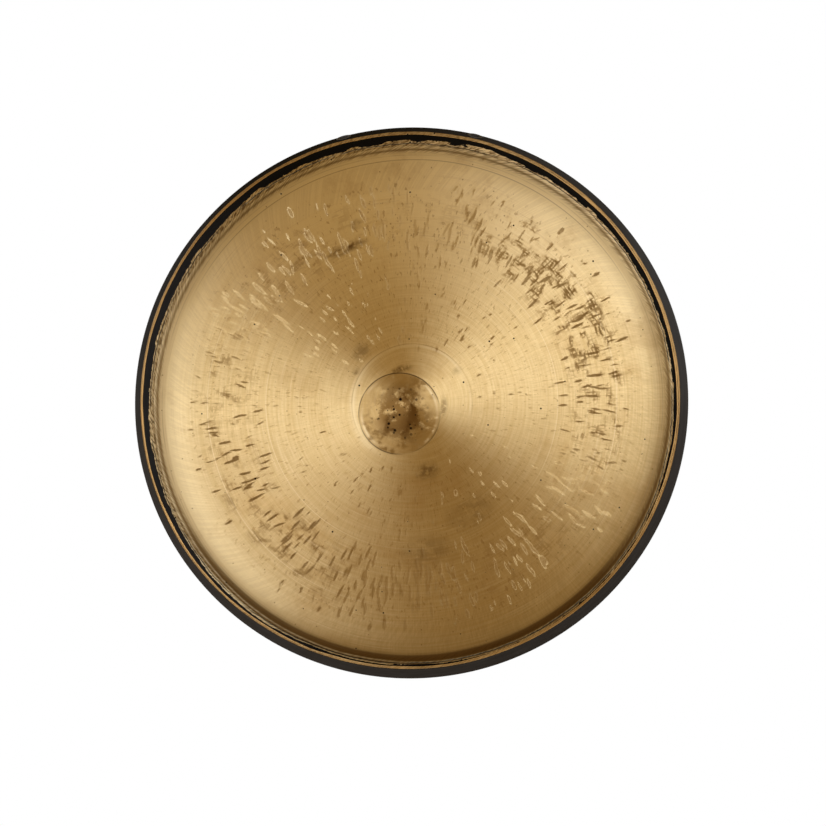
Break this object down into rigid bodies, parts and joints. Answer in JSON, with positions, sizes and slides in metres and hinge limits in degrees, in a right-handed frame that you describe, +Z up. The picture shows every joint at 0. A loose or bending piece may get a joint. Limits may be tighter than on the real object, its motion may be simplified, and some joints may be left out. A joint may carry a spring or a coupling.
{
  "type": "tam-tam gong",
  "caption": "Hammered and lathed bronze tam-tam with a shallow turned-back rim, hung by lined cord holes near the top.",
  "frame": {"origin": "where the gong hangs, midway between the centres of the two cord holes in the rim", "axes": "+Y along the gong's axis towards the domed striking side, -Y out of the open side, +Z up as it hangs, +X to the right as seen from the open side"},
  "size_m": [0.66, 0.06, 0.66],
  "materials": {
    "bronze": "hammered, then lathed in fine rings, with black forge scale left on the rim",
    "grommet_rubber": "matt moulded"
  },
  "bodies": {
    "root": {"gong_shell": "bronze", "hole_grommet_left": "grommet_rubber", "hole_grommet_right": "grommet_rubber"}
  },
  "joints": []
}
